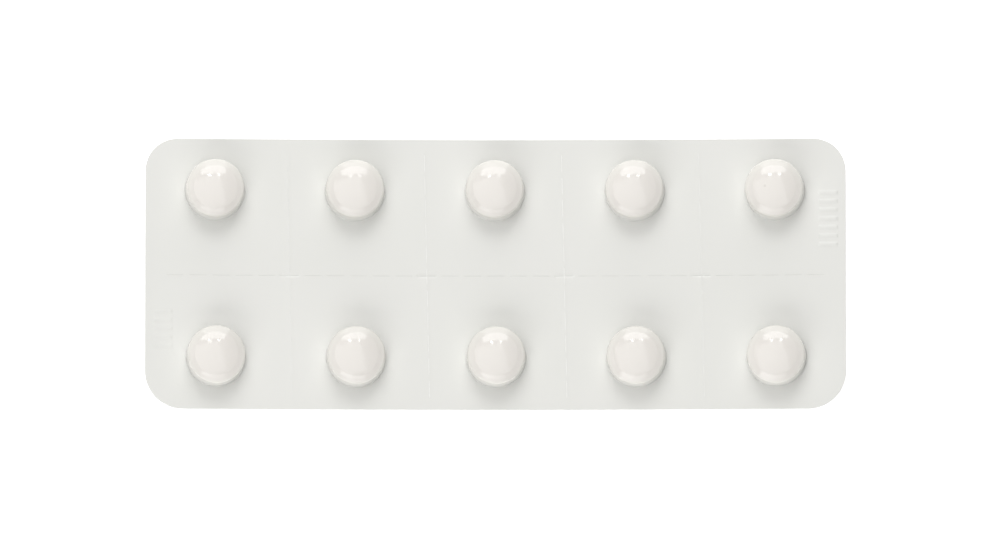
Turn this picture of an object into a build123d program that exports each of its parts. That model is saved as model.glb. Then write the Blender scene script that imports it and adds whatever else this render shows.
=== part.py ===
from build123d import *
import os
from math import asin, atan, cos, degrees, sin

# A ten-pocket pill blister pack lying pockets up, in millimetres, +Z up.
# The origin is on the lowest line of the foil, at the middle of the card.
# +X runs along the card and +Y across it, from the near edge to the far edge.

# ---- Driving dimensions ------------------------------------------------------

# Tablets: round, biconvex, with a plain band
tablet_radius = 3.4
tablet_band = 1.7
tablet_cap_rise = 0.75
tablet_edge_round = 0.12
tablet_seat_gap = 0.02

# Sheet stock
film_thickness = 0.25
foil_thickness = 0.05
pocket_wall = 0.18  # the film thins as it is drawn into a pocket

# Pockets
pocket_columns = 5
pocket_rows = 2
column_pitch = 20.0
row_pitch = 24.0
row_register = 0.1  # each row sits this far to its own side of the middle
tablet_side_clearance = 0.7
tablet_head_clearance = 0.47  # from the tablet's upper edge to the shoulder's inner face
wall_draft = 0.14  # how far the wall leans in from its foot to the shoulder
shoulder_land = 0.5  # from the wall in to the crease round the crown
shoulder_round = 0.7
crease_rise = 0.24
crease_round = 0.2
ring_land = 0.5  # from the crease in to the crown's own edge
ring_rise = 0.54
crown_rise = 1.09
root_round = 0.15  # outside, where the wall leaves the card
mouth_round = 0.3  # inside, at the same place

# Card
end_margin = 10.0  # from the last column of pockets to the card's end
side_margin = 7.5  # from a row of pockets to the card's long edge
near_corner_radius = 5.4
far_corner_radius = 4.7
bow_rise = 1.6  # how far the card's two ends stand above its middle

# Tear lines: one between each two columns and one between the rows
tear_pitch_short = 0.4  # the knives stand this much closer than the pockets
tear_line_y = -0.2
tear_lean = 0.022  # sideways run of an across line for each millimetre along it
slit_length = 2.4
slit_width = 0.05
slits_per_cell = 6
edge_tie = 1.2  # uncut film left between the last slit and the card's edge

# Pressed marks near the two ends: plain short bars
bar_length = 2.6
bar_width = 0.55
bar_height = 0.1
bar_pitch = 1.25
bar_end_margin = 2.5  # from the card's end to the middle of a bar
right_bar_count = 7
right_bar_y = 7.9
left_bar_count = 5
left_bar_y = -8.0

# ---- Worked out from those ---------------------------------------------------

card_length = (pocket_columns - 1) * column_pitch + 2 * end_margin
card_width = (pocket_rows - 1) * row_pitch + 2 * side_margin
bow_radius = ((card_length / 2) ** 2 + bow_rise**2) / (2 * bow_rise)
film_underside = foil_thickness
film_topside = foil_thickness + film_thickness
tablet_height = tablet_band + 2 * tablet_cap_rise
wall_foot_radius = tablet_radius + tablet_side_clearance + pocket_wall
shoulder_radius = wall_foot_radius - wall_draft
shoulder_height = tablet_height - tablet_cap_rise + tablet_head_clearance + pocket_wall
crease_radius = shoulder_radius - shoulder_land
ring_radius = crease_radius - ring_land
tear_pitch = column_pitch - tear_pitch_short
slit_pitch = tear_pitch / slits_per_cell
bar_x = card_length / 2 - bar_end_margin
cutter_depth = 4 * film_topside
headroom = bow_rise + 2 * film_topside


def seat_plane(x, y, height, turn=0.0):
    """A plane on the bowed card at (x, y), its Z square to the sheet and its origin
    that height above the foil's lower face; turn rotates it about that Z, in degrees."""
    lean = asin(x / bow_radius)
    reach = bow_radius - height
    plane = Plane(
        origin=(reach * sin(lean), y, bow_radius - reach * cos(lean)),
        x_dir=(cos(lean), 0, sin(lean)),
        z_dir=(-sin(lean), 0, cos(lean)),
    )
    return plane.rotated((0, 0, turn))


def spread(count, pitch):
    """Evenly spaced places either side of zero."""
    return [(index - (count - 1) / 2) * pitch for index in range(count)]


def cell_planes():
    """The film's underside at the middle of each pocket, far row first, left to right."""
    planes = []
    for y in reversed(spread(pocket_rows, row_pitch)):
        shift = -row_register if y > 0 else row_register
        for x in spread(pocket_columns, column_pitch):
            planes.append(seat_plane(x + shift, y, film_underside))
    return planes


# ---- The bowed sheet, a pocket, a tablet and a slit --------------------------


def card_outline():
    """The card's plan, with its near and far corners rounded differently."""
    Rectangle(card_length, card_width)
    fillet(vertices().group_by(Axis.Y)[0], near_corner_radius)
    fillet(vertices().group_by(Axis.Y)[-1], far_corner_radius)


def bowed_sheet(lower, upper):
    """The card between two heights above the foil's lower face."""
    with BuildPart() as sheet:
        with BuildSketch(Plane.XY.offset(-headroom)):
            card_outline()
        extrude(amount=3 * headroom)
        with BuildSketch(Plane.XZ.offset(-card_width)):
            with Locations((0, bow_radius)):
                Circle(bow_radius - lower)
                Circle(bow_radius - upper, mode=Mode.SUBTRACT)
        extrude(amount=2 * card_width, mode=Mode.INTERSECT)
    return sheet.part


def pocket_form(inset, foot, floor):
    """The solid inside a pocket's skin, that far in from the outer face.
    Its wall leans in from the foot's height up, and drops straight from there to the floor."""
    foot_r = wall_foot_radius - inset
    ring_r = ring_radius - inset
    shoulder_z = shoulder_height - inset
    ring_z = shoulder_z + ring_rise
    crown_z = shoulder_z + crown_rise
    crown_arch = crown_z - ring_z
    crown_radius = (ring_r**2 + crown_arch**2) / (2 * crown_arch)
    with BuildPart() as form:
        with BuildSketch(Plane.XZ):
            with BuildLine():
                side = FilletPolyline(
                    (foot_r, foot),
                    (shoulder_radius - inset, shoulder_z),
                    (crease_radius - inset, shoulder_z + crease_rise),
                    (ring_r, ring_z),
                    radius=[shoulder_round, crease_round],
                )
                RadiusArc(side @ 1, (0, crown_z), -crown_radius)
                Polyline((0, crown_z), (0, floor), (foot_r, floor), side @ 0)
            make_face()
        revolve(axis=Axis.Z)
    return form.part


def tear_slits():
    """Every slit of the tear lines, as one group of thin cutters."""
    half_width = card_width / 2
    half_length = card_length / 2
    across_turn = degrees(atan(tear_lean))
    planes = []
    for line_x in spread(pocket_columns - 1, tear_pitch):
        planes += across_slit_planes(line_x, half_width, 90 + across_turn)
    planes += along_slit_planes(half_length)
    with BuildPart() as slits:
        with Locations(*planes):
            Box(slit_length, slit_width, cutter_depth)
    return slits.part


def across_slit_planes(line_x, half_width, turn):
    """Slits of one line across the card, one of them centred on the line along it."""
    reach = half_width - edge_tie - slit_length / 2
    steps = int(half_width / slit_pitch) + 1
    places = []
    for step in range(-steps, steps + 1):
        y = tear_line_y + step * slit_pitch
        if abs(y) <= reach:
            places.append(seat_plane(line_x - tear_lean * y, y, 0, turn))
    return places


def along_slit_planes(half_length):
    """Slits of the line along the card, one of them centred on each line across it."""
    reach = half_length - edge_tie - slit_length / 2
    steps = int(half_length / slit_pitch) + 1
    first = spread(pocket_columns - 1, tear_pitch)[0]
    places = []
    for step in range(-steps, 2 * steps):
        x = first + step * slit_pitch
        if abs(x) <= reach:
            places.append(seat_plane(x, tear_line_y, 0))
    return places


def bar_planes(count, x, y):
    """Places of a short column of pressed bars, on the film's upper face."""
    return [seat_plane(x, y + step, film_topside) for step in spread(count, bar_pitch)]


def rims_of_card_face(film, which):
    """Edges round the pockets on the card's lower (0) or upper (-1) face."""
    card_faces = film.faces().sort_by(SortBy.AREA)[-2:]
    card_face = card_faces.sort_by(Axis.Z)[which]
    return [edge for rim in card_face.inner_wires() for edge in rim.edges()]


def tablet_form():
    """A round biconvex tablet standing on its own origin."""
    with BuildPart() as form:
        with BuildSketch(Plane.XZ):
            with BuildLine():
                foot = ThreePointArc(*cap_points(0, tablet_cap_rise))
                band = Line(foot @ 1, (tablet_radius, tablet_cap_rise + tablet_band))
                head = ThreePointArc(*reversed(cap_points(tablet_height, tablet_height - tablet_cap_rise)))
                Line(head @ 1, foot @ 0)
            make_face()
        revolve(axis=Axis.Z)
        fillet(form.edges().filter_by(GeomType.CIRCLE), tablet_edge_round)
    return form.part


def cap_points(apex, rim):
    """Three points of a spherical cap's section, from its apex out to its rim."""
    rise = abs(rim - apex)
    cap_radius = (tablet_radius**2 + rise**2) / (2 * rise)
    middle = tablet_radius / 2
    sag = cap_radius - (cap_radius**2 - middle**2) ** 0.5
    toward = 1 if rim > apex else -1
    return (0, apex), (middle, apex + toward * sag), (tablet_radius, rim)


# ---- Pieces ------------------------------------------------------------------

os.makedirs("parts", exist_ok=True)

cells = cell_planes()
film_sheet = bowed_sheet(film_underside, film_topside)
pocket_skin = pocket_form(0, film_thickness, film_thickness / 2)
pocket_hollow = pocket_form(pocket_wall, 0, -film_thickness)
slit_cutters = tear_slits()

# The film: a bowed card with ten hollow pockets, cut through along the tear lines
with BuildPart() as formed_film:
    add(film_sheet)
    with Locations(*cells):
        add(pocket_skin)
    fillet(rims_of_card_face(formed_film, -1), root_round)
    with Locations(*cells):
        add(pocket_hollow, mode=Mode.SUBTRACT)
    fillet(rims_of_card_face(formed_film, 0), mouth_round)
    add(slit_cutters, mode=Mode.SUBTRACT)
    with Locations(*bar_planes(right_bar_count, bar_x, right_bar_y)):
        Box(bar_length, bar_width, 2 * bar_height)
    with Locations(*bar_planes(left_bar_count, -bar_x, left_bar_y)):
        Box(bar_length, bar_width, 2 * bar_height)
formed_film.part.label = "formed_film"
export_step(formed_film.part, "parts/formed_film.step")

# The lidding foil: the same bowed card, flat across the pockets' mouths
foil_sheet = bowed_sheet(0, foil_thickness)
with BuildPart() as lidding_foil:
    add(foil_sheet)
    add(slit_cutters, mode=Mode.SUBTRACT)
lidding_foil.part.label = "lidding_foil"
export_step(lidding_foil.part, "parts/lidding_foil.step")

# The tablets: one loose in each pocket, lying on the foil
loose_tablet = tablet_form()
for number, cell in enumerate(cells, start=1):
    with BuildPart() as tablet:
        with Locations(cell.offset(tablet_seat_gap)):
            add(loose_tablet)
    tablet.part.label = f"tablet_{number:02d}"
    export_step(tablet.part, f"parts/{tablet.part.label}.step")
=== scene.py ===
import math
import random

import bpy
import numpy as np
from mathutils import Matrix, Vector
from mathutils.geometry import delaunay_2d_cdt


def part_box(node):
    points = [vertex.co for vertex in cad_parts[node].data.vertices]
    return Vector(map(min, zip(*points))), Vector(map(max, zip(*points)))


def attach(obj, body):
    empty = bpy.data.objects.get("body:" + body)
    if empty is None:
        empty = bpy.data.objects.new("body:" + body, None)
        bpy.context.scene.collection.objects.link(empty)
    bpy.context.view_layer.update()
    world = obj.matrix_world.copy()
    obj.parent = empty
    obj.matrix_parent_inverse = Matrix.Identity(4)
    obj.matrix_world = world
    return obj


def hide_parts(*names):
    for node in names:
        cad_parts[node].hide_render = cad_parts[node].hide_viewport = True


# A pill blister pack lying pockets up. Lengths are in millimetres until a mesh is made.

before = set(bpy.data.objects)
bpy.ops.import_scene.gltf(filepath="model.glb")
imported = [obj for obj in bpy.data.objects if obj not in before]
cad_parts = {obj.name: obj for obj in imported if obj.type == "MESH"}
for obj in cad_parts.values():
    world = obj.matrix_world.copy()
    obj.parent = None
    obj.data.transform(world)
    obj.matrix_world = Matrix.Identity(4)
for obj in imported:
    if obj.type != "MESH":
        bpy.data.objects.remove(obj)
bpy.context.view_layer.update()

MM = 0.001
SEED = 11

# ---- Sizes read from the frame ----------------------------------------------

TABLETS = sorted(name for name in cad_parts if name.startswith("tablet_"))


def box_mm(node):
    """A node's lowest and highest corner, in millimetres."""
    low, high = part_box(node)
    return np.array(low) / MM, np.array(high) / MM


film_low, film_high = box_mm("formed_film")
_, foil_high = box_mm("lidding_foil")

FOIL_THICKNESS = 0.05
FILM_THICKNESS = 0.25
HALF_LENGTH = (film_high[0] - film_low[0]) / 2
HALF_WIDTH = (film_high[1] - film_low[1]) / 2
BOW_RISE = foil_high[2] - FOIL_THICKNESS
BOW_RADIUS = (HALF_LENGTH**2 + BOW_RISE**2) / (2 * BOW_RISE)
FILM_UNDER = FOIL_THICKNESS
FILM_TOP = FOIL_THICKNESS + FILM_THICKNESS

tablet_low, tablet_high = box_mm(TABLETS[2])
TABLET_RADIUS = (tablet_high[1] - tablet_low[1]) / 2
TABLET_HEIGHT = tablet_high[2] - tablet_low[2]
TABLET_CAP = 0.75
TABLET_EDGE_ROUND = 0.12
TABLET_SEAT_GAP = 0.02
TABLET_SIDES = 64

# ---- Sizes of the looks ------------------------------------------------------

NEAR_CORNER = 5.4
FAR_CORNER = 4.7
EDGE_ROUND = 0.03

FOIL_CLEARANCE = 0.004  # the foil's upper face is this much lower than the film's underside,
# before the two faces' own triangles; round the pockets' mouths they still cut in by up to 0.03

POCKET_WALL = 0.18
SIDE_CLEARANCE = 0.7
HEAD_CLEARANCE = 0.47
WALL_FOOT = TABLET_RADIUS + SIDE_CLEARANCE + POCKET_WALL
WALL_DRAFT = 0.14
SHOULDER_Z = TABLET_HEIGHT - TABLET_CAP + HEAD_CLEARANCE + POCKET_WALL
SHOULDER_LAND = 0.5
SHOULDER_ROUND = 0.7
CREASE_RISE = 0.24
CREASE_ROUND = 0.2
RING_LAND = 0.5
RING_RISE = 0.54
RING_ROUND = 0.16
CROWN_RISE = 1.09
CROWN_START = 0.86  # share of the ring's radius where the crown's own arc begins
ROOT_ROUND = 0.12
MOUTH_ROUND = 0.3
POCKET_SIDES = 96
POCKET_LEAN = (0.02, 0.015)  # most that a pocket's crown leans along x and y

# How much the film over a pocket is painted, from 0 to 1: the walls' value gives a painted glow, a brighter
# tone standing in for light passing through the milky film, and 1 gives the tint of the tablet showing
# through the crown
WALL_GLOW = 0.35
WARM_FADE = 1.3
# The tint's middle sits this far towards the near side, so the far side of each crown keeps more of the
# brighter wall tone, a painted reflection of the far lamps; the tablets themselves are centred
TINT_NEAR_SHIFT = 0.5

# Waves of the card: height, length along x and y over two pi, and start in radians
WAVE_HEIGHT = 0.035
WAVE_RUN = (7.1, 9.3)
WAVE_START = (0.6, -0.4)
RIPPLE_HEIGHT = 0.02
RIPPLE_RUN = (3.7, 5.2)
RIPPLE_START = 1.9

TEAR_PITCH = 19.6
TEAR_Y = -0.2
TEAR_LEAN = 0.022
SLITS_PER_CELL = 6
SLIT_PITCH = TEAR_PITCH / SLITS_PER_CELL
ACROSS_TURN = 90 + math.degrees(math.atan(TEAR_LEAN))
SLIT_HALF_LENGTH = 1.2
SLIT_HALF_WIDTH = 0.008
SLIT_TIE = 1.2
LIP_RINGS = (0.0, 0.07, 0.17, 0.34)
LIP_RUN = LIP_RINGS[3] - LIP_RINGS[1]
LIP_HEIGHT = 0.016
DIP_DEPTH = 0.01
CROSSING_SHARE = 7.0  # of the relief of a slit along the card, where two slits cross
CROSSING_SHARE_ACROSS = 1.5
RIDGE_HEIGHT = 0.016
RIDGE_HALF_WIDTH = 0.5
GROOVE_DEPTH = 0.006
GROOVE_HALF_WIDTH = 0.5

BAR_HALF_LENGTH = 1.3
BAR_HALF_WIDTH = 0.27
BAR_HEIGHT = 0.1
BAR_EDGE_INSIDE = 0.12
BAR_EDGE_RUN = 0.24
BAR_GUIDES = (-0.1, 0.02, 0.14, 0.26)
BAR_PITCH = 1.25
BAR_END_MARGIN = 2.5
BAR_GROUPS = (  # side, count, middle y, share of the full height
    (1, 7, 7.9, 0.7),
    (-1, 5, -8.0, 0.45),
)

KNURL_PITCH = 1.0

# ---- Spacing of the mesh's points ---------------------------------------------

GRID_PITCH = 1.1
LOOP_PITCH = 0.5
CROSS_PITCH = 0.4
EDGE_CLEARANCE = 0.6
POCKET_CLEARANCE = 1.3
TEAR_CLEARANCE = 1.2
TEAR_SIDES = (0.5, 0.85)
TEAR_STEP = 0.9
TEAR_START = 0.8
TEAR_CROSS_CLEARANCE = 1.3
POCKET_GUIDES = (0.12, 0.45)
POCKET_OUTER_GUIDE = 1.0


# ---- From the flat card to the bowed one -------------------------------------


def bowed(x, y, height):
    """Points of the bowed card: x and y on the flat card, height above the foil's lower face."""
    lean = np.arcsin(np.asarray(x) / BOW_RADIUS)
    reach = BOW_RADIUS - np.asarray(height)
    return np.stack([reach * np.sin(lean), np.asarray(y) + 0 * lean, BOW_RADIUS - reach * np.cos(lean)], -1)


def flat_place(x, z):
    """The flat card's x under a point of the bowed one."""
    return BOW_RADIUS * math.sin(math.atan2(x, BOW_RADIUS - z))


def pocket_places():
    """Each pocket's middle on the flat card, from the tablet that it holds."""
    places = []
    for name in TABLETS:
        low, high = box_mm(name)
        middle = (low + high) / 2
        places.append((flat_place(middle[0], middle[2]), middle[1]))
    return places


POCKETS = pocket_places()
COLUMN_PITCH = POCKETS[1][0] - POCKETS[0][0]
ROW_Y = (POCKETS[0][1] - POCKETS[-1][1]) / 2


def spread(count, pitch):
    """Evenly spaced places either side of zero."""
    return [(index - (count - 1) / 2) * pitch for index in range(count)]


TEAR_LINES = spread(4, TEAR_PITCH)


# ---- Loops of points on the flat card -----------------------------------------


def arc(cx, cy, radius, start, stop, steps):
    """Points of an arc, both ends included, angles in degrees."""
    turns = np.radians(np.linspace(start, stop, steps + 1))
    return np.stack([cx + radius * np.cos(turns), cy + radius * np.sin(turns)], -1)


def straight(first, last, pitch):
    """Points between two points, neither included."""
    first, last = np.asarray(first), np.asarray(last)
    steps = max(1, int(round(np.linalg.norm(last - first) / pitch)))
    share = np.arange(1, steps)[:, None] / steps
    return first + share * (last - first)


CARD_CORNERS = (  # side, end, radius, where its arc starts in degrees
    (1, -1, NEAR_CORNER, -90),
    (1, 1, FAR_CORNER, 0),
    (-1, 1, FAR_CORNER, 90),
    (-1, -1, NEAR_CORNER, 180),
)


def joined(arcs, pitch):
    """A closed loop of arcs with straight runs between them."""
    points = []
    for index, bend in enumerate(arcs):
        points += [bend, straight(bend[-1], arcs[(index + 1) % len(arcs)][0], pitch)]
    return np.concatenate(points)


def turned(points, turn):
    """Points turned about the origin, in radians."""
    spin = np.array([[math.cos(turn), -math.sin(turn)], [math.sin(turn), math.cos(turn)]])
    return points @ spin.T


def card_loop(inset):
    """The card's outline, counterclockwise, that far in from its edge."""
    arcs = []
    for side, end, radius, start in CARD_CORNERS:
        cx = side * (HALF_LENGTH - radius)
        cy = end * (HALF_WIDTH - radius)
        arcs.append(arc(cx, cy, radius - inset, start, start + 90, 20))
    return joined(arcs, GRID_PITCH)


def circle_loop(cx, cy, radius, sides=POCKET_SIDES):
    return arc(cx, cy, radius, 0, 360, sides)[:-1]


def slit_loop(cx, cy, turn, out):
    """A slit's outline, that far outside its cut edge. turn is its direction, in degrees."""
    half = SLIT_HALF_WIDTH + out
    length = SLIT_HALF_LENGTH
    right = arc(length, 0, half, -90, 90, 6)
    left = arc(-length, 0, half, 90, 270, 6)
    return turned(joined([right, left], LOOP_PITCH), math.radians(turn)) + (cx, cy)


def cross_loop(cx, cy, out):
    """The outline of two slits that cross, that far outside their cut edge."""
    half = SLIT_HALF_WIDTH + out
    length = SLIT_HALF_LENGTH
    inner = (half, half)
    quarter = np.concatenate([
        arc(length, 0, half, 0, 90, 3),
        straight((length, half), inner, CROSS_PITCH),
        [inner],
        straight(inner, (half, length), CROSS_PITCH),
        arc(0, length, half, 0, 90, 3)[:-1],
    ])
    local = np.concatenate([turned(quarter, math.pi / 2 * step) for step in range(4)])
    local[:, 0] -= TEAR_LEAN * local[:, 1]
    return local + (cx, cy)


def bar_loop(cx, cy, out):
    """A bar's outline, that far outside its edge."""
    half_l = BAR_HALF_LENGTH + out
    half_w = BAR_HALF_WIDTH + out
    radius = max(0.1, half_w * 0.8)
    arcs = []
    for side, end, _, start in CARD_CORNERS:
        x, y = cx + side * (half_l - radius), cy + end * (half_w - radius)
        arcs.append(arc(x, y, radius, start, start + 90, 4))
    return joined(arcs, LOOP_PITCH)


def slit_places():
    """(x, y, turn) of each plain slit, and (x, y) of each crossing pair."""
    plain, crossings = [], []
    reach_y = HALF_WIDTH - SLIT_TIE - SLIT_HALF_LENGTH
    reach_x = HALF_LENGTH - SLIT_TIE - SLIT_HALF_LENGTH
    many = 40  # more steps than fit on the card
    for line_x in TEAR_LINES:
        for step in range(-many, many):
            y = TEAR_Y + step * SLIT_PITCH
            if abs(y) <= reach_y:
                x = line_x - TEAR_LEAN * y
                if step == 0:
                    crossings.append((x, y))
                else:
                    plain.append((x, y, ACROSS_TURN))
    for step in range(-many, many):
        x = TEAR_LINES[0] + step * SLIT_PITCH
        crossing = min(abs(x - line) for line in TEAR_LINES) < SLIT_PITCH / 2
        if abs(x) <= reach_x and not crossing:
            plain.append((x, TEAR_Y, 0))
    return plain, crossings


PLAIN_SLITS, CROSSINGS = slit_places()
SLITS = [(x, y, turn, 1.0) for x, y, turn in PLAIN_SLITS]  # x, y, turn, share of the full relief
for crossing_x, crossing_y in CROSSINGS:
    SLITS.append((crossing_x, crossing_y, 0, CROSSING_SHARE))
    SLITS.append((crossing_x, crossing_y, ACROSS_TURN, CROSSING_SHARE_ACROSS))
BARS = [  # x, y, share of the full height
    (side * (HALF_LENGTH - BAR_END_MARGIN), middle + y, share)
    for side, count, middle, share in BAR_GROUPS
    for y in spread(count, BAR_PITCH)
]


# ---- Relief of the sheet: waves, tear lines, lips and pressed bars -------------


def smooth(t):
    """An even rise from 0 to 1, level at both ends."""
    t = np.clip(t, 0, 1)
    return t * t * (3 - 2 * t)


def slit_distance(x, y, cx, cy, turn):
    """How far a point is outside a slit's middle line."""
    a = math.radians(turn)
    along = (x - cx) * math.cos(a) + (y - cy) * math.sin(a)
    aside = -(x - cx) * math.sin(a) + (y - cy) * math.cos(a)
    return np.hypot(np.maximum(np.abs(along) - SLIT_HALF_LENGTH, 0), aside)


def relief(x, y):
    """How far the sheet stands above its plain bow at each point."""
    x, y = np.asarray(x, float), np.asarray(y, float)
    rise = WAVE_HEIGHT * np.sin(x / WAVE_RUN[0] + WAVE_START[0]) * np.cos(y / WAVE_RUN[1] + WAVE_START[1])
    rise += RIPPLE_HEIGHT * np.sin(x / RIPPLE_RUN[0] - y / RIPPLE_RUN[1] + RIPPLE_START)
    for line_x in TEAR_LINES:
        away = np.abs(x - (line_x - TEAR_LEAN * y))
        rise += RIDGE_HEIGHT * (1 - smooth(away / RIDGE_HALF_WIDTH))
    rise -= GROOVE_DEPTH * (1 - smooth(np.abs(y - TEAR_Y) / GROOVE_HALF_WIDTH))
    lips, dips = np.zeros_like(rise), np.zeros_like(rise)
    for cx, cy, turn, share in SLITS:
        away = slit_distance(x, y, cx, cy, turn) - SLIT_HALF_WIDTH
        if turn:
            up = smooth(away / LIP_RINGS[1] * 0.5 + 0.5) * (1 - smooth((away - LIP_RINGS[1]) / LIP_RUN))
            lips = np.maximum(lips, LIP_HEIGHT * share * up)
        else:
            dips = np.maximum(dips, DIP_DEPTH * share * (1 - smooth(away / LIP_RINGS[3])))
    rise += lips - dips
    for cx, cy, share in BARS:
        over = np.maximum(np.abs(x - cx) - BAR_HALF_LENGTH, np.abs(y - cy) - BAR_HALF_WIDTH)
        rise += BAR_HEIGHT * share * (1 - smooth((over + BAR_EDGE_INSIDE) / BAR_EDGE_RUN))
    return rise


# ---- Triangulating the card -----------------------------------------------------


def inside_slits(x, y):
    """Which points lie in a slit."""
    hit = np.zeros(len(x), bool)
    for cx, cy, turn, _ in SLITS:
        hit |= slit_distance(x, y, cx, cy, turn) < SLIT_HALF_WIDTH * 0.999
    return hit


def slit_hole_loops(out):
    """Outlines round every slit and crossing, that far outside their cut edges."""
    loops = [slit_loop(cx, cy, turn, out) for cx, cy, turn in PLAIN_SLITS]
    return loops + [cross_loop(cx, cy, out) for cx, cy in CROSSINGS]


def plain_points(hole_radius):
    """Points in the open card, clear of every loop."""
    xs = np.arange(-HALF_LENGTH + GRID_PITCH, HALF_LENGTH, GRID_PITCH)
    ys = np.arange(-HALF_WIDTH + GRID_PITCH, HALF_WIDTH, GRID_PITCH)
    gx, gy = (g.ravel() for g in np.meshgrid(xs, ys))
    gx = gx + GRID_PITCH / 2 * (np.round((gy + HALF_WIDTH) / GRID_PITCH) % 2)
    keep = (np.abs(gx) < HALF_LENGTH - EDGE_CLEARANCE) & (np.abs(gy) < HALF_WIDTH - EDGE_CLEARANCE)
    for side, end, radius, _ in CARD_CORNERS:
        ox, oy = side * gx - (HALF_LENGTH - radius), end * gy - (HALF_WIDTH - radius)
        keep &= ~((ox > 0) & (oy > 0) & (np.hypot(ox, oy) > radius - EDGE_CLEARANCE))
    for cx, cy in POCKETS:
        keep &= np.hypot(gx - cx, gy - cy) > hole_radius + POCKET_CLEARANCE
    for line_x in TEAR_LINES:
        keep &= np.abs(gx - (line_x - TEAR_LEAN * gy)) > TEAR_CLEARANCE
    keep &= np.abs(gy - TEAR_Y) > TEAR_CLEARANCE
    for cx, cy, _ in BARS:
        beside = np.abs(gx - cx) > BAR_HALF_LENGTH + EDGE_CLEARANCE
        keep &= beside | (np.abs(gy - cy) > BAR_HALF_WIDTH + EDGE_CLEARANCE)
    return np.stack([gx[keep], gy[keep]], -1)


def tear_side_points():
    """Points beside the tear lines, where their relief ends."""
    points = []
    for away in TEAR_SIDES:
        ys = np.arange(-HALF_WIDTH + TEAR_START, HALF_WIDTH - EDGE_CLEARANCE, TEAR_STEP)
        for line_x in TEAR_LINES:
            for side in (-1, 1):
                keep = np.abs(ys - TEAR_Y) > TEAR_CROSS_CLEARANCE
                points.append(np.stack([line_x + side * away - TEAR_LEAN * ys[keep], ys[keep]], -1))
        xs = np.arange(-HALF_LENGTH + TEAR_START, HALF_LENGTH - EDGE_CLEARANCE, TEAR_STEP)
        for side in (-1, 1):
            keep = np.min([np.abs(xs - line) for line in TEAR_LINES], axis=0) > TEAR_CROSS_CLEARANCE
            points.append(np.stack([xs[keep], np.full(keep.sum(), TEAR_Y + side * away)], -1))
    return np.concatenate(points)


class Sheet:
    """Collects points, triangles and quads of one closed piece."""

    def __init__(self):
        self.points = []
        self.faces = []
        self.values = []

    def add(self, places, value=0.0):
        """Adds points, with the tint and painted glow stored at them, and returns their numbers."""
        first = len(self.points)
        self.points += [tuple(p) for p in places]
        self.values += list(np.broadcast_to(value, len(places)))
        return list(range(first, first + len(places)))

    def strip(self, lower, upper):
        """Quads between two closed loops of the same length."""
        count = len(lower)
        for i in range(count):
            j = (i + 1) % count
            self.faces.append((lower[i], lower[j], upper[j], upper[i]))

    def fan(self, loop, apex):
        """Triangles from a closed loop to one point."""
        for i in range(len(loop)):
            self.faces.append((loop[i], loop[(i + 1) % len(loop)], apex))

    def mesh(self, name):
        """The piece as a Blender mesh, in metres."""
        data = bpy.data.meshes.new(name)
        data.from_pydata([tuple(c * MM for c in p) for p in self.points], [], self.faces)
        tint_and_glow = data.attributes.new("tint_and_glow", "FLOAT", "POINT")
        tint_and_glow.data.foreach_set("value", np.array(self.values, np.float32))
        data.validate()
        return data


def triangulate(loops, loose):
    """Triangles over loops and loose points: the points, the triangles, and which given
    points each point stands for."""
    coords = np.concatenate(loops + [loose])
    edges, start = [], 0
    for loop in loops:
        count = len(loop)
        edges += [(start + i, start + (i + 1) % count) for i in range(count)]
        start += count
    made = delaunay_2d_cdt([Vector(c) for c in coords], edges, [], 0, 1e-6, True)
    verts, _, faces, origins = made[:4]
    return np.array([tuple(v) for v in verts]), np.array([f[:3] for f in faces]), origins


def card_face(sheet, height, hole_radius, edge_inset, up):
    """One face of the card: its triangles, and the numbers of its outline and hole points."""
    outline = card_loop(edge_inset)
    slits = slit_hole_loops(0.0)
    holes = [circle_loop(cx, cy, hole_radius) for cx, cy in POCKETS] if hole_radius else []
    guides = [loop for out in LIP_RINGS[1:] for loop in slit_hole_loops(out)]
    guides += [bar_loop(cx, cy, out) for cx, cy, _ in BARS for out in BAR_GUIDES]
    if hole_radius:
        outer = hole_radius + POCKET_OUTER_GUIDE
        guides += [circle_loop(cx, cy, hole_radius + out) for cx, cy in POCKETS for out in POCKET_GUIDES]
        guides += [circle_loop(cx, cy, outer, POCKET_SIDES // 2) for cx, cy in POCKETS]
    loose = np.concatenate([plain_points(hole_radius or 0), tear_side_points()])
    loops = [outline] + slits + holes + guides
    flat, tris, origins = triangulate(loops, loose)
    middle = flat[tris].mean(1)
    keep = ~inside_slits(middle[:, 0], middle[:, 1])
    for cx, cy in POCKETS if hole_radius else []:
        inner = hole_radius * math.cos(math.pi / POCKET_SIDES)
        keep &= np.hypot(middle[:, 0] - cx, middle[:, 1] - cy) > inner * 0.9999
    tris = tris[keep]
    corners = flat[tris]
    cross = np.cross(corners[:, 1] - corners[:, 0], corners[:, 2] - corners[:, 0])
    tris[cross < 0] = tris[cross < 0][:, ::-1]
    if not up:
        tris = tris[:, ::-1]
    used = np.unique(tris)
    number = np.full(len(flat), -1)
    lifted = bowed(flat[used, 0], flat[used, 1], height + relief(flat[used, 0], flat[used, 1]))
    number[used] = sheet.add(lifted)
    sheet.faces += [tuple(int(number[v]) for v in tri) for tri in tris]
    given = {}
    for vertex, sources in enumerate(origins):
        for source in sources:
            given[source] = int(number[vertex])
    rings, start = [], 0
    for loop in [outline] + slits + holes:
        rings.append([given[start + i] for i in range(len(loop))])
        start += len(loop)
    return rings[0], rings[1 : 1 + len(slits)], rings[1 + len(slits) :]


# ---- Sections turned about a pocket's middle -------------------------------------


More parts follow.
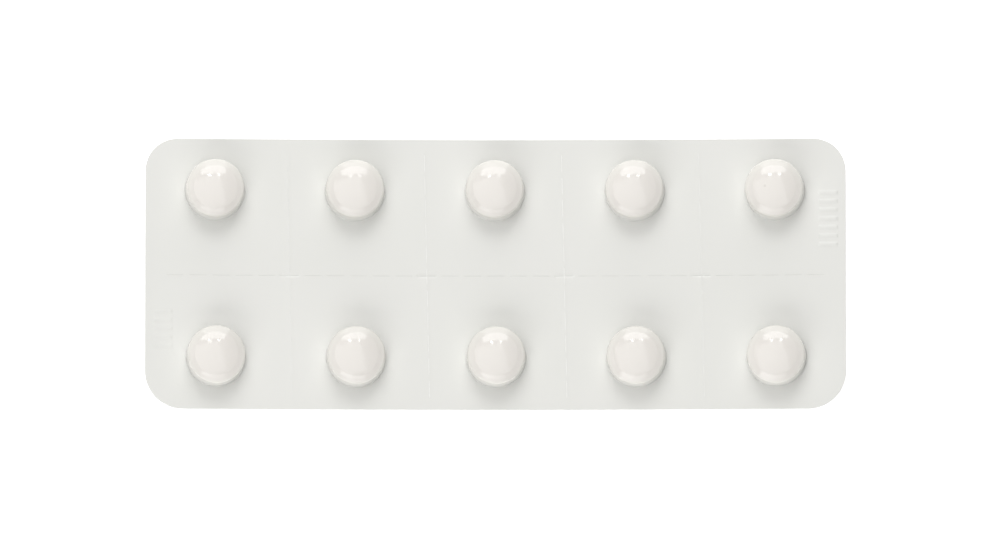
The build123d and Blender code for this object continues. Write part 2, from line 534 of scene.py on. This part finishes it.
def rounded_path(corners, radii, step=12):
    """A path of straight runs with rounded corners, as points."""
    corners = [np.asarray(c, float) for c in corners]
    points = [corners[0]]
    for before, corner, after, radius in zip(corners, corners[1:], corners[2:], radii):
        back, ahead = before - corner, after - corner
        back_length, ahead_length = np.linalg.norm(back), np.linalg.norm(ahead)
        back, ahead = back / back_length, ahead / ahead_length
        half = math.acos(np.clip(back @ ahead, -1, 1)) / 2
        reach = min(radius / math.tan(half), 0.49 * back_length, 0.49 * ahead_length)
        radius = reach * math.tan(half)
        middle = corner + (back + ahead) / np.linalg.norm(back + ahead) * radius / math.sin(half)
        first, last = corner + back * reach, corner + ahead * reach
        a0 = math.atan2(*(first - middle)[::-1])
        a1 = math.atan2(*(last - middle)[::-1])
        sweep = (a1 - a0 + math.pi) % (2 * math.pi) - math.pi
        steps = max(2, int(math.degrees(abs(sweep)) / step) + 1)
        for i in range(steps + 1):
            a = a0 + sweep * i / steps
            points.append(middle + radius * np.array([math.cos(a), math.sin(a)]))
    points.append(corners[-1])
    return points


def pocket_path(inset, start):
    """A pocket's section from its foot to just short of its apex, as (radius, height)."""
    foot = WALL_FOOT - inset
    base = 0.0 if inset else FILM_THICKNESS
    shoulder_z = SHOULDER_Z - inset
    shoulder = foot - WALL_DRAFT
    crease = shoulder - SHOULDER_LAND
    ring = crease - RING_LAND
    ring_z = shoulder_z + RING_RISE
    crown_z = shoulder_z + CROWN_RISE
    arch = crown_z - ring_z
    crown_radius = (ring**2 + arch**2) / (2 * arch)

    def crown(r):
        return crown_z - crown_radius + math.sqrt(crown_radius**2 - r * r)

    first_crown = ring * CROWN_START
    corners = [
        (foot + start, base),
        (foot, base),
        (shoulder, shoulder_z),
        (crease, shoulder_z + CREASE_RISE),
        (ring, ring_z),
        (first_crown, crown(first_crown)),
    ]
    path = rounded_path(corners, [start, SHOULDER_ROUND, CREASE_ROUND, RING_ROUND])
    path += [np.array((r, crown(r))) for r in np.linspace(first_crown, 0, 9)[1:-1]]
    return path, crown_z


def lathe(sheet, first_ring, middle, path, apex_z, outward, lean=(0, 0)):
    """Turns a section about a pocket's middle, from a ring of points that is already there."""
    cx, cy = middle
    sides = len(first_ring)
    turns = np.arange(sides) * 2 * math.pi / sides
    ring = first_ring
    for radius, height in path:
        x, y = cx + radius * np.cos(turns), cy + radius * np.sin(turns)
        upper = smooth((height - SHOULDER_Z * 0.5) / (SHOULDER_Z * 0.5))
        tip = (lean[0] * (x - cx) + lean[1] * (y - cy)) * upper
        places = bowed(x, y, FILM_UNDER + height + relief(cx, cy) + tip)
        higher = sheet.add(places, tint_and_glow_at(x - cx, y - cy, height))
        sheet.strip(*((ring, higher) if outward else (higher, ring)))
        ring = higher
    apex = sheet.add([bowed(cx, cy, FILM_UNDER + apex_z + relief(cx, cy))], 1.0)[0]
    sheet.fan(ring if outward else ring[::-1], apex)


def tint_and_glow_at(x, y, height):
    """How strongly the film over a pocket is painted, at (x, y) from the pocket's middle: a painted glow on
    the walls, the tablet's tint on the crown.
    """
    # Walls: a painted glow that grows as they rise
    if height < SHOULDER_Z:
        return WALL_GLOW * smooth((height - FILM_THICKNESS) / SHOULDER_Z) + 0 * x
    # Centred towards the near side: the far side of the crown is painted brighter
    inward = smooth((WALL_FOOT - np.hypot(x, y + TINT_NEAR_SHIFT)) / WARM_FADE)
    return WALL_GLOW + (1 - WALL_GLOW) * inward


# ---- Pieces ----------------------------------------------------------------------

SHARP_ANGLE = 38


def finish_piece(sheet, name, material, slot, *nodes):
    """Makes the sheet's object, attaches it to the root and hides the CAD nodes that it replaces."""
    data = sheet.mesh(name)
    piece = bpy.data.objects.new(name, data)
    bpy.context.scene.collection.objects.link(piece)
    data.polygons.foreach_set("use_smooth", [True] * len(data.polygons))
    data.set_sharp_from_angle(angle=math.radians(SHARP_ANGLE))
    data.materials.append(material)
    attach(piece, "root")
    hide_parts(*nodes)


def make_film(material):
    """The formed film: card, pockets, slits, raised lips and pressed bars, as one closed shell."""
    sheet = Sheet()
    top = card_face(sheet, FILM_TOP, WALL_FOOT + ROOT_ROUND, EDGE_ROUND, True)
    under = card_face(sheet, FILM_UNDER, WALL_FOOT - POCKET_WALL + MOUTH_ROUND, 0.0, False)
    edge = card_loop(0.0)
    side = sheet.add(bowed(edge[:, 0], edge[:, 1], FILM_TOP - EDGE_ROUND + relief(edge[:, 0], edge[:, 1])))
    sheet.strip(under[0], side)
    sheet.strip(side, top[0])
    for above, below in zip(top[1], under[1]):
        sheet.strip(above, below)
    draw = random.Random(SEED)
    skin, skin_top = pocket_path(0.0, ROOT_ROUND)
    hollow, hollow_top = pocket_path(POCKET_WALL, MOUTH_ROUND)
    for middle, outer, inner in zip(POCKETS, top[2], under[2]):
        lean = [draw.uniform(-most, most) for most in POCKET_LEAN]
        lathe(sheet, outer, middle, skin[1:], skin_top, True, lean)
        lathe(sheet, inner, middle, hollow[1:], hollow_top, False, lean)
    finish_piece(sheet, "film_card", material, "film", "formed_film")


def make_foil(material):
    """The lidding foil: one thin sheet across the pockets' mouths, with the film's slits cut through it."""
    sheet = Sheet()
    top = card_face(sheet, FILM_UNDER - FOIL_CLEARANCE, None, 0.0, True)
    under = card_face(sheet, 0.0, None, 0.0, False)
    sheet.strip(under[0], top[0])
    for above, below in zip(top[1], under[1]):
        sheet.strip(above, below)
    finish_piece(sheet, "foil_backing", material, "foil", "lidding_foil")


def make_tablet(number, node, middle, material):
    """One round biconvex tablet lying on the foil."""
    cx, cy = middle
    cap = TABLET_CAP
    cap_radius = (TABLET_RADIUS**2 + cap**2) / (2 * cap)

    def cap_z(r):
        return cap_radius - math.sqrt(cap_radius**2 - r * r)

    near = TABLET_RADIUS * 0.9
    foot = [(r, cap_z(r)) for r in np.linspace(0, near, 7)[1:]]
    band_corners = [
        (near, cap_z(near)),
        (TABLET_RADIUS, cap),
        (TABLET_RADIUS, TABLET_HEIGHT - cap),
        (near, TABLET_HEIGHT - cap_z(near)),
    ]
    band = rounded_path(band_corners, [TABLET_EDGE_ROUND, TABLET_EDGE_ROUND], 30)
    head = [(r, TABLET_HEIGHT - z) for r, z in foot[::-1]]
    path = foot[:-1] + band + head[1:]
    sheet = Sheet()
    turns = np.arange(TABLET_SIDES) * 2 * math.pi / TABLET_SIDES
    base = FILM_UNDER + TABLET_SEAT_GAP + float(relief(cx, cy))
    lowest = sheet.add([bowed(cx, cy, base)])[0]
    ring = None
    for radius, height in path:
        higher = sheet.add(bowed(cx + radius * np.cos(turns), cy + radius * np.sin(turns), base + height))
        if ring is None:
            sheet.fan(higher[::-1], lowest)
        else:
            sheet.strip(ring, higher)
        ring = higher
    sheet.fan(ring, sheet.add([bowed(cx, cy, base + TABLET_HEIGHT)])[0])
    finish_piece(sheet, f"pill_{number:02d}", material, "tablet", node)


# ---- Materials -------------------------------------------------------------------


def new_material(name):
    material = bpy.data.materials.new(name)
    material.use_nodes = True
    tree = material.node_tree
    return material, tree, tree.nodes["Principled BSDF"]


def plug(tree, socket, value):
    """Links an output to a socket, or sets the socket's own value."""
    if isinstance(value, bpy.types.NodeSocket):
        tree.links.new(value, socket)
    else:
        socket.default_value = value


def math_node(tree, operation, *values):
    made = tree.nodes.new("ShaderNodeMath")
    made.operation = operation
    for socket, value in zip(made.inputs, values):
        plug(tree, socket, value)
    return made.outputs[0]


def ramp(tree, value, from_low, from_high, to_low, to_high):
    """Maps one range of a value onto another, and holds it at both ends."""
    made = tree.nodes.new("ShaderNodeMapRange")
    for socket, given in zip(made.inputs, (value, from_low, from_high, to_low, to_high)):
        plug(tree, socket, given)
    return made.outputs[0]


def squared(tree, value):
    return math_node(tree, "MULTIPLY", value, value)


def wave(tree, value, turn):
    return math_node(tree, "SINE", math_node(tree, "MULTIPLY", value, turn))


def mix_colours(tree, factor, first, second):
    made = tree.nodes.new("ShaderNodeMix")
    made.data_type = "RGBA"
    plug(tree, made.inputs["Factor"], factor)
    plug(tree, made.inputs["A"], first)
    plug(tree, made.inputs["B"], second)
    return made.outputs["Result"]


def place(tree, stretch=(1, 1, 1)):
    """Object coordinates in millimetres, stretched along each axis."""
    coordinates = tree.nodes.new("ShaderNodeTexCoord")
    mapping = tree.nodes.new("ShaderNodeMapping")
    mapping.inputs["Scale"].default_value = [factor / MM for factor in stretch]
    tree.links.new(coordinates.outputs["Object"], mapping.inputs["Vector"])
    return mapping.outputs["Vector"]


def noise(tree, vector, scale, detail=3.0):
    made = tree.nodes.new("ShaderNodeTexNoise")
    tree.links.new(vector, made.inputs["Vector"])
    made.inputs["Scale"].default_value = scale
    made.inputs["Detail"].default_value = detail
    return made.outputs["Fac"]


def bump(tree, surface, height, depth_mm):
    made = tree.nodes.new("ShaderNodeBump")
    made.inputs["Strength"].default_value = 1.0
    made.inputs["Distance"].default_value = depth_mm * MM
    tree.links.new(height, made.inputs["Height"])
    tree.links.new(made.outputs["Normal"], surface.inputs["Normal"])


CARD_TONE = (0.802, 0.799, 0.766, 1)
CARD_TONE_DEEP = (0.789, 0.788, 0.752, 1)
# Painted glow: the pockets' walls are painted brighter than the card, standing in for light passing through
# the milky film
WALL_GLOW_TONE = (0.888, 0.866, 0.812, 1)
POCKET_TONE = (0.862, 0.828, 0.782, 1)
FOIL_TONE_DULL = (0.74, 0.745, 0.755, 1)
FOIL_TONE = (0.86, 0.86, 0.865, 1)
TABLET_TONE = (0.90, 0.84, 0.77, 1)
TABLET_TONE_DEEP = (0.84, 0.76, 0.68, 1)
TABLET_SPECK_TONE = (0.62, 0.50, 0.40, 1)

# One tiny speck of dirt on the crown of the far row's right-most pocket
SPECK_TONE = (0.35, 0.31, 0.26, 1)
SPECK_RADIUS = 0.26
SPECK_PLACE = bowed(POCKETS[4][0] - 1.28, POCKETS[4][1] + 0.1, SHOULDER_Z + CROWN_RISE - 0.05)


def film_material():
    """Milky white film: glossy, faintly cloudy, warmer where a tablet shows through, and painted brighter
    on the pockets' walls as a stand-in for light passing through the film.
    """
    material, tree, surface = new_material("milky_film")
    where = place(tree)
    clouds = ramp(tree, noise(tree, where, 0.045), 0.35, 0.65, 0.0, 1.0)
    card = mix_colours(tree, clouds, CARD_TONE, CARD_TONE_DEEP)
    tint_and_glow = tree.nodes.new("ShaderNodeAttribute")
    tint_and_glow.attribute_name = "tint_and_glow"
    amount = tint_and_glow.outputs["Fac"]
    # Painted glow on the walls, then the tablet's tint on the crowns
    colour = mix_colours(tree, ramp(tree, amount, 0.0, WALL_GLOW, 0.0, 1.0), card, WALL_GLOW_TONE)
    colour = mix_colours(tree, ramp(tree, amount, WALL_GLOW, 1.0, 0.0, 1.0), colour, POCKET_TONE)
    away = tree.nodes.new("ShaderNodeVectorMath")
    away.operation = "DISTANCE"
    tree.links.new(where, away.inputs[0])
    away.inputs[1].default_value = SPECK_PLACE
    speck = ramp(tree, away.outputs["Value"], 0.5 * SPECK_RADIUS, SPECK_RADIUS, 0.16, 0.0)
    colour = mix_colours(tree, speck, colour, SPECK_TONE)
    tree.links.new(colour, surface.inputs["Base Color"])
    rubbed = noise(tree, where, 0.6, 5.0)
    card_gloss = ramp(tree, rubbed, 0.3, 0.7, 0.14, 0.20)
    drawn_gloss = ramp(tree, amount, WALL_GLOW, 1.0, 1.0, 0.6)
    tree.links.new(math_node(tree, "MULTIPLY", card_gloss, drawn_gloss), surface.inputs["Roughness"])
    surface.inputs["IOR"].default_value = 1.5
    bump(tree, surface, noise(tree, where, 1.6, 2.0), 0.006)
    return material


def foil_material():
    """Hard aluminium, knurled where it is sealed, smooth under each pocket and dented round it."""
    material, tree, surface = new_material("sealed_foil")
    where = place(tree)
    parts = tree.nodes.new("ShaderNodeSeparateXYZ")
    tree.links.new(where, parts.inputs[0])
    x, y = parts.outputs["X"], parts.outputs["Y"]
    across = math_node(tree, "PINGPONG", x, COLUMN_PITCH / 2)
    along = math_node(tree, "ABSOLUTE", math_node(tree, "SUBTRACT", math_node(tree, "ABSOLUTE", y), ROW_Y))
    away = math_node(tree, "SQRT", math_node(tree, "ADD", squared(tree, across), squared(tree, along)))
    sealed = ramp(tree, away, WALL_FOOT - 0.1, WALL_FOOT + 0.25, 0.0, 1.0)
    turn = 2 * math.pi / KNURL_PITCH
    ridge_a = wave(tree, math_node(tree, "ADD", x, y), turn)
    ridge_b = wave(tree, math_node(tree, "SUBTRACT", x, y), turn)
    knurl = math_node(tree, "MULTIPLY", math_node(tree, "MULTIPLY", ridge_a, ridge_b), sealed)
    rim = math_node(tree, "ABSOLUTE", math_node(tree, "SUBTRACT", away, WALL_FOOT))
    rim_groove = ramp(tree, rim, 0.0, 0.3, -1.2, 0.0)
    crinkle = math_node(tree, "MULTIPLY", noise(tree, where, 0.35, 4.0), 1.5)
    relief_sum = math_node(tree, "ADD", math_node(tree, "ADD", knurl, rim_groove), crinkle)
    bump(tree, surface, relief_sum, 0.02)
    rolled = noise(tree, place(tree, (0.15, 9.0, 1.0)), 1.0, 3.0)
    colour = mix_colours(tree, ramp(tree, rolled, 0.3, 0.7, 0.0, 1.0), FOIL_TONE_DULL, FOIL_TONE)
    tree.links.new(colour, surface.inputs["Base Color"])
    tree.links.new(ramp(tree, rolled, 0.3, 0.7, 0.28, 0.40), surface.inputs["Roughness"])
    surface.inputs["Metallic"].default_value = 1.0
    return material


def tablet_material():
    """Pressed powder: matte cream with fine grains and a few darker specks."""
    material, tree, surface = new_material("pressed_powder")
    where = place(tree)
    grains = ramp(tree, noise(tree, where, 7.0, 4.0), 0.35, 0.65, 0.0, 1.0)
    body = mix_colours(tree, grains, TABLET_TONE, TABLET_TONE_DEEP)
    specks = ramp(tree, noise(tree, where, 3.1, 1.0), 0.70, 0.74, 0.0, 0.6)
    colour = mix_colours(tree, specks, body, TABLET_SPECK_TONE)
    tree.links.new(colour, surface.inputs["Base Color"])
    tree.links.new(ramp(tree, grains, 0.0, 1.0, 0.68, 0.85), surface.inputs["Roughness"])
    bump(tree, surface, grains, 0.02)
    return material


# ---- The object ------------------------------------------------------------------

film_look = film_material()
foil_look = foil_material()
tablet_look = tablet_material()
make_film(film_look)
make_foil(foil_look)
for number, (tablet_node, middle) in enumerate(zip(TABLETS, POCKETS), start=1):
    make_tablet(number, tablet_node, middle, tablet_look)

# ---- Floor, lights and camera ----------------------------------------------------

# Lengths here are in metres, angles in degrees

VIEW_ELEVATION = 81.0
FRAME_WIDTH = 0.1427
VIEW_TARGET = (0.00064, -0.00066, 0.0015)
LENS = 800.0
SENSOR = 36.0
FLOOR_HALF = 1.5
FLOOR_DROP = 0.0001
WORLD_STRENGTH = 0.08

LAMP_DISTANCE = 0.8
LAMPS = (  # name, azimuth, elevation, width, height, watts
    ("far_panel", 184, 44, 0.6, 0.34, 2.5),
    ("far_low_panel", 180, 20, 0.7, 0.25, 1.05),
    ("far_right_spot", 167, 58, 0.06, 0.045, 0.13),
    ("far_left_spot", 197, 58, 0.06, 0.045, 0.18),
    ("left_panel", 270, 25, 0.5, 0.3, 0.08),
    ("right_panel", 80, 30, 0.4, 0.25, 0.08),
    ("top_panel", 285, 80, 0.9, 0.8, 3.05),
    ("near_low_panel", 350, 31, 0.9, 0.4, 2.5),
    ("near_left_panel", 335, 30, 0.4, 0.3, 0.4),
)


def make_floor():
    data = bpy.data.meshes.new("floor")
    half = FLOOR_HALF
    corners = [(-half, -half, 0), (half, -half, 0), (half, half, 0), (-half, half, 0)]
    data.from_pydata(corners, [], [(0, 1, 2, 3)])
    floor = bpy.data.objects.new("floor", data)
    bpy.context.scene.collection.objects.link(floor)
    floor.location.z = -FLOOR_DROP
    material, tree, surface = new_material("pale_floor")
    surface.inputs["Base Color"].default_value = (0.95, 0.95, 0.95, 1)
    surface.inputs["Roughness"].default_value = 0.9
    surface.inputs["Specular IOR Level"].default_value = 0.0
    surface.inputs["Emission Color"].default_value = (1, 1, 1, 1)
    surface.inputs["Emission Strength"].default_value = 0.5
    data.materials.append(material)


def aim(thing, target):
    """Turns a lamp or camera to face a point."""
    direction = Vector(target) - thing.location
    thing.rotation_mode = "QUATERNION"
    thing.rotation_quaternion = direction.to_track_quat("-Z", "Y")


def make_lamp(name, azimuth, elevation, width, height, power):
    """A soft panel aimed at the pack. Azimuth 0 is the near side, 90 the right, 180 the far side."""
    data = bpy.data.lights.new(name, "AREA")
    data.shape = "RECTANGLE"
    data.size, data.size_y = width, height
    data.energy = power
    lamp = bpy.data.objects.new(name, data)
    bpy.context.scene.collection.objects.link(lamp)
    a, e = math.radians(azimuth), math.radians(elevation)
    toward = Vector((math.sin(a) * math.cos(e), -math.cos(a) * math.cos(e), math.sin(e)))
    lamp.location = toward * LAMP_DISTANCE
    aim(lamp, (0, 0, 0))


def make_camera():
    data = bpy.data.cameras.new("camera")
    data.lens = LENS
    data.sensor_width = SENSOR
    data.clip_start, data.clip_end = 0.1, 20
    camera = bpy.data.objects.new("camera", data)
    bpy.context.scene.collection.objects.link(camera)
    e = math.radians(VIEW_ELEVATION)
    back = Vector((0, -math.cos(e), math.sin(e)))
    target = Vector(VIEW_TARGET)
    camera.location = target + back * (FRAME_WIDTH * LENS / SENSOR)
    aim(camera, target)
    bpy.context.scene.camera = camera


make_floor()
make_camera()
for lamp_row in LAMPS:
    make_lamp(*lamp_row)

world = bpy.data.worlds.new("studio")
bpy.context.scene.world = world
world.use_nodes = True
world.node_tree.nodes["Background"].inputs["Color"].default_value = (1, 1, 1, 1)
world.node_tree.nodes["Background"].inputs["Strength"].default_value = WORLD_STRENGTH

scene = bpy.context.scene
scene.view_settings.view_transform = "Standard"
